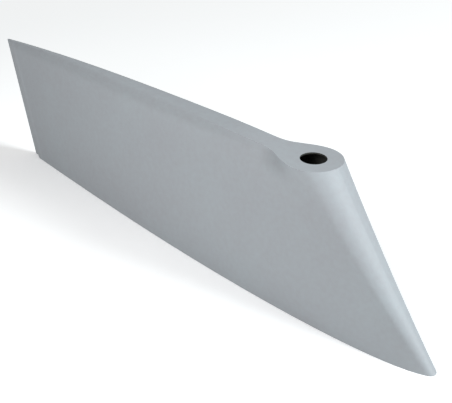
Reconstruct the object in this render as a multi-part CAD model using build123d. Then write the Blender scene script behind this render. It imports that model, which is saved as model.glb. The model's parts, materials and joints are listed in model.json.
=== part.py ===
from build123d import *
import os
from math import copysign, cos, exp, hypot, radians, sin, sqrt, tan

# Rudder tip of a light aircraft: one thin moulded shell, open along its base.
# It stands on the open base with the leading edge towards +X and the span up.
# The flat boss at the top front carries a light, and its wires go through the bore.

# Driving dimensions in millimetres and degrees.
height = 204.0                  # base plane to the flat face of the boss
base_chord = 818.0              # leading edge to trailing edge along the base
boss_setback = 188.5            # base leading edge back to the axis of the bore
boss_radius = 35.0
bore_radius = 15.875
wall = 2.0
trailing_sweep = 11.3           # the trailing edge leans aft by this angle
leading_bow = 4.1               # the leading edge is hollow by this much at mid height

base_inset = 0.5                # the base is thinner than the boss by this much a side
crest_half = 16.9               # the same just below the crest
base_tail_half = 8.0            # half-thickness where the sides end, at the base
crest_tail_half = 4.5
tail_power = 3.4                # how late the tail thickness comes in along the chord
nose_radius = 6.7               # rounding of the leading edge at the base
nose_swell = 1.6                # extra radius of the nose at mid height

flat_behind = 4.0               # the boss face stays level this far behind the boss
crest_arch = 8.3                # the crest rises this much above the boss face
arch_front_power = 1.25         # how slowly the arch rises behind the boss
arch_rear_power = 1.0           # how slowly it comes down at the trailing edge
roll_height = 9.0               # the sides roll over to the crest within this height
crest_flat = 1.5                # half-width of the flat left along the crest
shoulder_length = 240.0         # the flat behind the boss narrows over this length
edge_length = 45.0              # the boss's edge softens over this length behind it
taper_bend = 0.1                # how softly the nose runs into the straight sides
waist_length = 1.6              # length of the waist behind the boss, in nose radii
waist_power = 10.0              # how fast the waist fades below the boss
blend_power = 5.0               # higher is a tighter valley between boss and sides

flange_width = 20.0             # joint of the two skins at the trailing edge
flange_step = 8.0               # length over which the sides step in to the flange
flange_root_half = 2.6
flange_edge_half = 1.6
skin_join = 20.0                # solid length ahead of the flange where the skins meet

# Derived sizes and places. The origin is under the middle of the overall length.
base_half = boss_radius - base_inset            # half of the greatest thickness at the base
overall_length = base_chord + height * tan(radians(trailing_sweep))
leading_x = overall_length / 2
bore_x = leading_x - boss_setback
crest_leading_x = bore_x + boss_radius
crest_chord = crest_leading_x + overall_length / 2
flat_share = (2 * boss_radius + flat_behind) / crest_chord      # part of the chord that is level
PEAK = sqrt(1 / 3) * 2 / 3                      # greatest value of sqrt(t) * (1 - t)
SEAM = sqrt(2 * boss_radius)                    # u where the nose surface meets the sides
ARCH_PLACE = arch_front_power / (arch_front_power + arch_rear_power)

NOSE_SPANS = 12                                 # of each spline, from the nose to the seam
SIDE_SPANS = 22
SIDE_LEVELS = 12
ROLL_LEVELS = 5
STEP = 0.001                                    # of u, for a slope


def mix(low, high, share):
    """Value between low and high."""
    return low + (high - low) * share


def bulge(share):
    """0 at both ends and 1 in the middle."""
    return 4 * share * (1 - share)


def ease(share):
    """Runs from 0 to 1 and is level at both ends."""
    return share * share * (3 - 2 * share)


def leading_edge(level):
    share = level / height
    return mix(leading_x, crest_leading_x, share) - leading_bow * bulge(share)


def trailing_edge(level):
    return leading_x - base_chord - level * tan(radians(trailing_sweep))


def side_end(level):
    """Where the sides end and the step to the flange starts."""
    return trailing_edge(level) + flange_width


def chord_share(x, level):
    """Distance behind the leading edge as a part of the chord."""
    front = leading_edge(level)
    return (front - x) / (front - trailing_edge(level))


def crest_height(share):
    """Height of the crest at a part of the chord: level over the boss, then arched."""
    aft = min(max((share - flat_share) / (1 - flat_share), 0.0), 1.0)
    rise = (aft / ARCH_PLACE)**arch_front_power
    fall = ((1 - aft) / (1 - ARCH_PLACE))**arch_rear_power
    return height + crest_arch * rise * fall


def side_half(behind, level):
    """Half-thickness of the aerofoil sides at a distance behind the leading edge."""
    share = behind / (leading_edge(level) - side_end(level))
    up = ease(level / height)
    body = mix(base_half, crest_half, up) * sqrt(share) * (1 - share) / PEAK
    return body + mix(base_tail_half, crest_tail_half, up) * share**tail_power


def nose_half(behind, level):
    """Half-thickness of the nose: round in front, then straight, or waisted near the boss."""
    share = level / height
    radius = mix(nose_radius, boss_radius, share) + nose_swell * bulge(share)
    past = behind - radius
    if past < 0:
        return sqrt(radius**2 - past**2)
    along = past / (leading_edge(level) - side_end(level) - radius)
    taper = 1 - (hypot(along, taper_bend) - taper_bend) / (hypot(1, taper_bend) - taper_bend)
    waist = exp(-(past / (waist_length * radius))**2)
    return radius * mix(max(taper, 0.0), waist, share**waist_power)


def fade(behind, length):
    """1 over the boss, and down to 0 in about this length behind it."""
    return exp(-(max(behind - 2 * boss_radius, 0.0) / length)**2)


def half_thickness(behind, level, turn):
    """Half-thickness of the section; turn is 0 on the sides and 90 degrees at the crest."""
    side = side_half(behind, level)
    top = mix(crest_flat, side, fade(behind, shoulder_length))
    side = mix(top, side, cos(radians(turn)))
    return (side**blend_power + nose_half(behind, level)**blend_power) ** (1 / blend_power)


def skin_point(u, base_level, turn, inset):
    """Point of a skin; u is 0 at the nose, and its square is the distance behind the edge.

    The roll starts at base_level. It rises evenly under the boss and as an arc further aft.
    """
    behind = u**2
    rise = mix(sin(radians(turn)), turn / 90, fade(behind, edge_length))
    level = base_level + (roll_height - inset) * rise
    side = half_thickness(behind, level, 0.0)
    slope = (half_thickness((abs(u) + STEP)**2, level, 0.0) - side) / STEP
    normal = Vector(slope, 2 * abs(u)).normalized() if u else Vector(1, 0)
    x = leading_edge(level) - behind - inset * normal.X
    y = (side - inset * normal.Y) * half_thickness(behind, level, turn) / side if u else 0.0
    lift = crest_height(chord_share(x, level)) / height
    return Vector(x, copysign(y, u), level * lift)


def spans(first, last, count):
    """Evenly spaced values from first to last."""
    return [mix(first, last, i / count) for i in range(count + 1)]


def skin_curve(first, last, count, *how):
    """Spline of a skin from one u to another, with its true slope at both ends."""
    places = spans(first, last, count)
    points = [skin_point(u, *how) for u in places]
    slopes = [skin_point(u + STEP, *how) - skin_point(u - STEP, *how) for u in (first, last)]
    slopes = [slope / (2 * STEP) for slope in slopes]
    return Edge.make_spline(points, slopes, parameters=places, scale=False)


def half_outline(base_level, turn, inset):
    """Outline of the far half of a skin: nose, side and, on the outer skin, the flange."""
    level = base_level + (roll_height - inset) * sin(radians(turn))
    end = sqrt(leading_edge(level) - side_end(level) - (skin_join if inset else 0.0))
    how = (base_level, turn, inset)
    edges = [skin_curve(0.0, SEAM, NOSE_SPANS, *how), skin_curve(SEAM, end, SIDE_SPANS, *how)]
    if not inset:
        for back, half in ((flange_step, flange_root_half), (flange_width, flange_edge_half)):
            x = side_end(level) - back
            y = mix(min(half, crest_flat), half, cos(radians(turn)))
            lift = crest_height(chord_share(x, level)) / height
            edges.append(Line(edges[-1] @ 1, Vector(x, y, level * lift)))
    return edges


def mirrored(edges):
    """The same edges on the near side of the middle plane."""
    return [edge.mirror(Plane.XZ) for edge in edges]


def section(*how):
    """Closed outline of a skin."""
    far = half_outline(*how)
    near = mirrored(far)
    return Wire(far + near + [Line(far[-1] @ 1, near[-1] @ 1)])


def skin_solid(inset=0.0):
    """Solid inside the outer skin, or inside the inner one where inset is the wall."""
    roll_start = height - roll_height
    sides = [section(level, 0.0, inset) for level in spans(0.0, roll_start, SIDE_LEVELS)]
    rolls = [section(roll_start, turn, inset) for turn in spans(0.0, 90.0, ROLL_LEVELS)]
    nose, *crest = half_outline(roll_start, 90.0, inset)
    boss = [nose] + mirrored([nose])
    faces = [Face(sides[0]), Face(Wire(boss + [Line(boss[0] @ 1, boss[1] @ 1)]))]
    for sections in (sides, rolls):
        faces += Shell.make_loft(sections, ruled=bool(inset)).faces()
    for far, near in zip(crest, mirrored(crest)):
        faces.append(Face.make_surface_from_curves(far, near))
    return Solid(Shell(faces))


def tip_shell():
    """The moulding: outer skin less the hollow inside, with the bore through the boss."""
    bore = Pos(bore_x, 0, height) * Cylinder(bore_radius, 2 * roll_height)
    return skin_solid() - skin_solid(wall) - bore


os.makedirs("parts", exist_ok=True)
export_step(tip_shell(), "parts/tip_shell.step")
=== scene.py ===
import json
import math

import bpy
from mathutils import Matrix, Vector

# Looks of the rudder tip: satin gelcoat outside with painted shade and a painted highlight, raw laminate
# inside painted near-black as shade, and the photo's view.
# Sizes are metres in the row's frame, apart from those that say otherwise.

# The photo's camera, found by fitting the outline in perspective.
PHOTO_SIZE = (452, 403)             # pixels
FOCAL = 704.5                       # pixels
BOSS_PIXEL = (313.6, 158.3)         # middle of the bore's mouth in the photo
BORE_PIXELS = 13.95                 # half-width of the bore's mouth in the photo
VIEW_TURN = math.radians(44.96)     # azimuth: 0 looks along +Y, 90 along -X
VIEW_DROP = math.radians(29.42)     # how far the camera looks down
VIEW_ROLL = math.radians(0.18)      # the camera is turned clockwise about its view
SENSOR = 36.0                       # millimetres
CLIP_START = 0.01

# The gelcoat's two greys are mixed by broad clouds and a fine mottle, under a slight orange peel.
DEEP_GREY = (0.356, 0.370, 0.395, 1)
PALE_GREY = (0.382, 0.418, 0.443, 1)
CLOUD_SCALE = 9.0                   # features in a metre
MOTTLE_SCALE = 150.0
MOTTLE_SHARE = 0.5                  # part of the mixing that the mottle does
MIX_RANGE = (0.3, 0.7)              # noise below and above this is all deep or all pale
PEEL_SCALE = 900.0
PEEL_HEIGHT = 0.0002
SATIN = (0.54, 0.60)                # least and greatest roughness

# Painted shade: the gelcoat is darker along the crest and in the waist behind the boss.
CREST_SHADE_LEVELS = (0.190, 0.203)       # the crest's painted shade comes in between these heights
CREST_SHADE_END = (0.09, 0.18)            # and goes out between these places along X
CREST_SHADE = 0.09                   # part of the colour that the painted shade takes
WAIST_SHADE_MIDDLE = (0.205, 0.197)              # middle of the patch along X and Z
WAIST_SHADE_REACH = (0.036, 0.026)
WAIST_SHADE = 0.18
STEEP = (0.4, 0.8)                  # the painted shade goes out as the normal's Z grows over this range

# A painted highlight, a pale line, runs up the gelcoat beside the flange.
HIGHLIGHT_FOOT = -0.355                  # its place along X at the base
HIGHLIGHT_LEAN = 0.263                   # how far it leans aft for each metre of height
HIGHLIGHT_REACH = 0.008
HIGHLIGHT_PALE = 0.07                    # part of the colour that the painted highlight adds

# The laminate's two colours are mixed by its strands. Both are near-black, painted shade that keeps the
# hollow and the bore dark.
DEEP_LAMINATE = (0.030, 0.031, 0.028, 1)
PALE_LAMINATE = (0.060, 0.060, 0.052, 1)
STRAND_SCALE = 260.0
STRAND_HEIGHT = 0.0004
FACING = 0.5                        # a face looks up, or down, when its normal's Z is past this

# The floor and the lights. Near the object the camera sees a brighter floor, and further off white.
FLOOR_SIZE = 60.0
FLOOR_COLOUR = (0.80, 0.80, 0.80, 1)
NEAR_COLOUR = (1.25, 1.25, 1.25, 1)
WHITE_OUT = (0.9, 3.0)              # the floor runs to white between these distances
WHITE = (1, 1, 1, 1)
ROOM_LIGHT = 0.465                  # strength of the surroundings, which the camera sees at 1
LAMPS = {                           # aim, way to the lamp, distance, width, watts and colour
    "key": ((0, 0, 0.1), (0.852, 0.310, 0.423), 6.0, 2.0, 290, (0.92, 0.985, 1.0)),
    "fill": ((0.15, 0, 0.1), (0, -0.76, 0.65), 0.92, 0.5, 3.7, (1, 1, 1)),
}


def camera(boss_centre, bore_radius):
    """The photo's camera, placed so that the bore's mouth falls on its place in the photo."""
    level = Vector((math.cos(VIEW_TURN), math.sin(VIEW_TURN), 0))
    ahead = math.cos(VIEW_DROP) * Vector((-level.y, level.x, 0))
    ahead.z = -math.sin(VIEW_DROP)
    right = Matrix.Rotation(VIEW_ROLL, 3, ahead) @ level
    up = right.cross(ahead)
    depth = FOCAL * bore_radius / BORE_PIXELS
    across, down = ((pixel - size / 2) / FOCAL for pixel, size in zip(BOSS_PIXEL, PHOTO_SIZE))
    data = bpy.data.cameras.new("camera")
    data.sensor_width = SENSOR
    data.lens = FOCAL / PHOTO_SIZE[0] * SENSOR
    data.clip_start = CLIP_START
    cam = bpy.data.objects.new("camera", data)
    cam.location = boss_centre - depth * (ahead + across * right - down * up)
    cam.rotation_euler = Matrix((right, up, -ahead)).transposed().to_euler()
    bpy.context.collection.objects.link(cam)
    bpy.context.scene.camera = cam


def node_adder(owner):
    """Empties the node tree of a material or a world, and returns a function that adds a node."""
    owner.use_nodes = True
    tree = owner.node_tree
    tree.nodes.clear()

    def add(kind, sockets=None, **settings):
        """Adds a node. A socket takes a value, an output of a node, or a node for its first one."""
        node = tree.nodes.new(kind)
        for name, setting in settings.items():
            setattr(node, name, setting)
        for name, value in (sockets or {}).items():
            if isinstance(value, bpy.types.Node):
                value = next(output for output in value.outputs if output.enabled)
            if isinstance(value, bpy.types.NodeSocket):
                tree.links.new(value, node.inputs[name])
            else:
                node.inputs[name].default_value = value
        return node

    return add


def eased(add, value, limits, first, last):
    """Eases from first to last while the value goes from one limit to the other."""
    start, end = limits
    sockets = {"Value": value, "From Min": start, "From Max": end, "To Min": first, "To Max": last}
    return add("ShaderNodeMapRange", sockets, interpolation_type="SMOOTHSTEP")


def maths(add, operation, *values):
    return add("ShaderNodeMath", dict(enumerate(values)), operation=operation)


def crest_painted_shade(add, x, z):
    """Part of the colour that the painted shade along the crest takes."""
    high = eased(add, z, CREST_SHADE_LEVELS, 0.0, CREST_SHADE)
    aft = eased(add, x, CREST_SHADE_END, 1.0, 0.0)
    return maths(add, "MULTIPLY", high, aft)


def waist_painted_shade(add, place, normal):
    """Part of the colour that the painted shade in the waist takes. It is on the sides alone."""
    scale = (1 / WAIST_SHADE_REACH[0], 0, 1 / WAIST_SHADE_REACH[1])
    shift = (-WAIST_SHADE_MIDDLE[0] / WAIST_SHADE_REACH[0], 0, -WAIST_SHADE_MIDDLE[1] / WAIST_SHADE_REACH[1])
    away = add("ShaderNodeVectorMath", {0: place, 1: scale, 2: shift}, operation="MULTIPLY_ADD")
    reach = add("ShaderNodeVectorMath", {0: away}, operation="LENGTH")
    near = eased(add, reach, (0.0, 1.0), WAIST_SHADE, 0.0)
    facing = add("ShaderNodeSeparateXYZ", {"Vector": normal})
    steep = eased(add, facing.outputs["Z"], STEEP, 1.0, 0.0)
    return maths(add, "MULTIPLY", near, steep)


def painted_highlight_line(add, x, z):
    """Part of the colour that the painted highlight beside the flange adds."""
    upright = maths(add, "MULTIPLY_ADD", z, HIGHLIGHT_LEAN, x)
    aside = maths(add, "ABSOLUTE", maths(add, "SUBTRACT", upright, HIGHLIGHT_FOOT))
    return eased(add, aside, (0.0, HIGHLIGHT_REACH), HIGHLIGHT_PALE, 0.0)


def painted_shade_and_highlight(add, coords):
    """How bright the gelcoat is at each place, where 1 is its plain colour: painted shade takes away and
    the painted highlight adds.
    """
    place = coords.outputs["Object"]
    x, _, z = add("ShaderNodeSeparateXYZ", {"Vector": place}).outputs
    left = maths(add, "SUBTRACT", 1.0, crest_painted_shade(add, x, z))
    left = maths(add, "SUBTRACT", left, waist_painted_shade(add, place, coords.outputs["Normal"]))
    return maths(add, "ADD", left, painted_highlight_line(add, x, z))


def gelcoat():
    """Satin grey gelcoat of the outside, carrying painted shade and a painted highlight."""
    mat = bpy.data.materials.new("satin_gelcoat")
    add = node_adder(mat)
    coords = add("ShaderNodeTexCoord")
    place = coords.outputs["Object"]
    clouds = {"Vector": place, "Scale": CLOUD_SCALE, "Detail": 3.0, "Roughness": 0.55}
    cloud = add("ShaderNodeTexNoise", clouds)
    mottle = add("ShaderNodeTexNoise", {"Vector": place, "Scale": MOTTLE_SCALE, "Detail": 2.0})
    peel = add("ShaderNodeTexNoise", {"Vector": place, "Scale": PEEL_SCALE, "Detail": 2.0})
    blend = add("ShaderNodeMix", {"Factor": MOTTLE_SHARE, "A": cloud, "B": mottle})
    noise_range = {"Value": blend, "From Min": MIX_RANGE[0], "From Max": MIX_RANGE[1]}
    share = add("ShaderNodeMapRange", noise_range)
    greys = {"Factor": share, "A": DEEP_GREY, "B": PALE_GREY}
    colour = add("ShaderNodeMix", greys, data_type="RGBA")
    # The grey is scaled by the painted shade and the painted highlight.
    colour_with_painted_light = add("ShaderNodeVectorMath", {"Vector": colour, "Scale": painted_shade_and_highlight(add, coords)}, operation="SCALE")
    rough = add("ShaderNodeMapRange", {"Value": cloud, "To Min": SATIN[0], "To Max": SATIN[1]})
    bump = add("ShaderNodeBump", {"Height": peel, "Strength": 0.06, "Distance": PEEL_HEIGHT})
    surface = {"Base Color": colour_with_painted_light, "Roughness": rough, "Normal": bump, "IOR": 1.5}
    add("ShaderNodeOutputMaterial", {"Surface": add("ShaderNodeBsdfPrincipled", surface)})
    return mat


def laminate():
    """Raw glass-fibre laminate of the inside, its strands real and its near-black colour painted shade of
    the hollow.
    """
    mat = bpy.data.materials.new("raw_laminate_painted_dark")
    add = node_adder(mat)
    place = add("ShaderNodeTexCoord").outputs["Object"]
    strands = add("ShaderNodeTexVoronoi", {"Vector": place, "Scale": STRAND_SCALE})
    colours = {"Factor": strands, "A": DEEP_LAMINATE, "B": PALE_LAMINATE}
    colour = add("ShaderNodeMix", colours, data_type="RGBA")
    bump = add("ShaderNodeBump", {"Height": strands, "Strength": 0.5, "Distance": STRAND_HEIGHT})
    surface = {"Base Color": colour, "Normal": bump, "Roughness": 0.6}
    add("ShaderNodeOutputMaterial", {"Surface": add("ShaderNodeBsdfPrincipled", surface)})
    return mat


def dress(shell, boss_height):
    """Laminate on the faces that look into the hollow and the bore, and gelcoat on the others."""
    shell.data.materials.clear()
    for mat in (gelcoat(), laminate()):
        shell.data.materials.append(mat)
    for face in shell.data.polygons:
        inwards = face.normal.y * face.center.y < 0 and face.normal.z < FACING
        under_boss = face.normal.z < -FACING and face.center.z > boss_height / 2
        face.material_index = int(inwards or under_boss)


def seen_by_camera(add, others, camera_sees):
    """One shader for the camera's rays and another for all other rays."""
    ray = add("ShaderNodeLightPath").outputs["Is Camera Ray"]
    return add("ShaderNodeMixShader", {"Fac": ray, 1: others, 2: camera_sees})


def pale_floor():
    """Floor that keeps the object's shadow and is white for the camera further away."""
    bpy.ops.mesh.primitive_plane_add(size=FLOOR_SIZE, location=(0, 0, 0))
    floor = bpy.context.object
    floor.name = "floor"
    mat = bpy.data.materials.new("pale_floor")
    add = node_adder(mat)
    place = add("ShaderNodeTexCoord").outputs["Object"]
    reach = add("ShaderNodeVectorMath", {0: place}, operation="LENGTH")
    lit = add("ShaderNodeBsdfDiffuse", {"Color": FLOOR_COLOUR})
    near = add("ShaderNodeBsdfDiffuse", {"Color": NEAR_COLOUR})
    far = add("ShaderNodeEmission", {"Strength": 1.0})
    seen = add("ShaderNodeMixShader", {"Fac": eased(add, reach, WHITE_OUT, 0.0, 1.0), 1: near, 2: far})
    add("ShaderNodeOutputMaterial", {"Surface": seen_by_camera(add, lit, seen)})
    floor.data.materials.append(mat)


def white_room():
    """Surroundings that the camera sees as white, and that light the object less."""
    world = bpy.data.worlds.new("white_room")
    bpy.context.scene.world = world
    add = node_adder(world)
    lit, seen = (add("ShaderNodeBackground", {"Color": WHITE, "Strength": strength})
                 for strength in (ROOM_LIGHT, 1.0))
    add("ShaderNodeOutputWorld", {"Surface": seen_by_camera(add, lit, seen)})


def softbox(name, aim, way, distance, width, power, colour):
    """A square area light in that direction from the aim, facing it."""
    light = bpy.data.lights.new(name, "AREA")
    light.size = width
    light.energy = power
    light.color = colour
    box = bpy.data.objects.new(name, light)
    box.location = Vector(aim) + Vector(way).normalized() * distance
    box.rotation_euler = (Vector(aim) - box.location).to_track_quat("-Z", "Y").to_euler()
    bpy.context.collection.objects.link(box)


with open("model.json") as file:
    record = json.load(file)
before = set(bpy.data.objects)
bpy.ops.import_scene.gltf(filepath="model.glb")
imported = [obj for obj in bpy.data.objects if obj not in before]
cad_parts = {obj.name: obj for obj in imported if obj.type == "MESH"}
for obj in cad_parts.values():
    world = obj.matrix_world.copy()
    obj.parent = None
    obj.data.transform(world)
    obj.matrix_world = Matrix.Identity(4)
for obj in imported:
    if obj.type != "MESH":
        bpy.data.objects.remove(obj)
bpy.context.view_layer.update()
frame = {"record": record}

mounts = {mount["name"]: mount for mount in frame["record"]["mounts"]}
bore, seat = mounts["light_bore"], mounts["light_seat"]
boss = Vector((bore["pos_m"][0], 0.0, seat["pos_m"][2]))

dress(bpy.data.objects["tip_shell"], boss.z)
pale_floor()
white_room()
for lamp_name, lamp in LAMPS.items():
    softbox(lamp_name, *lamp)
camera(boss, bore["dims"]["r_mm"] / 1000)

scene = bpy.context.scene
scene.view_settings.view_transform = "Standard"
